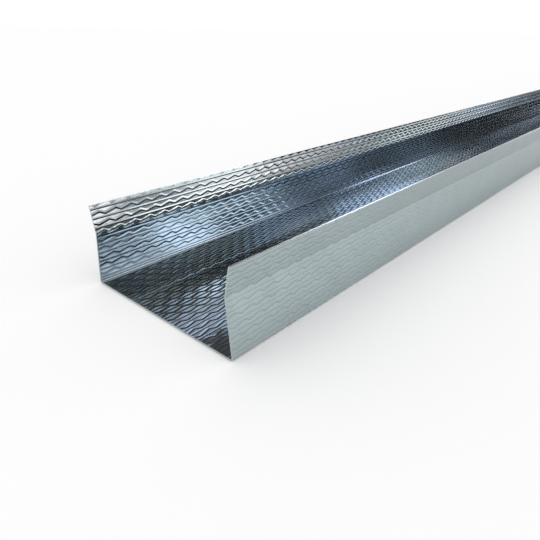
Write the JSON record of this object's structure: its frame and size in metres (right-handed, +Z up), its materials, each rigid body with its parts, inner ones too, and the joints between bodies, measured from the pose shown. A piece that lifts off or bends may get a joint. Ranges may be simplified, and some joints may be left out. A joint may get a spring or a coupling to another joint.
{
  "type": "drywall track",
  "caption": "Roll-formed galvanised steel U track for drywall framing: flat web, two spring-in flanges with a crease and a flared lip.",
  "frame": {"origin": "under the middle of the web, on the floor, half way along the track", "axes": "+X along the track, away from the end nearest in the picture; +Y across it, from the near flange to the far one; +Z up, out of the open side"},
  "size_m": [3, 0.07, 0.03],
  "materials": {
    "galvanised_sheet": "embossed galvanised sheet, satin"
  },
  "bodies": {
    "root": {"track": "galvanised_sheet"}
  },
  "joints": []
}
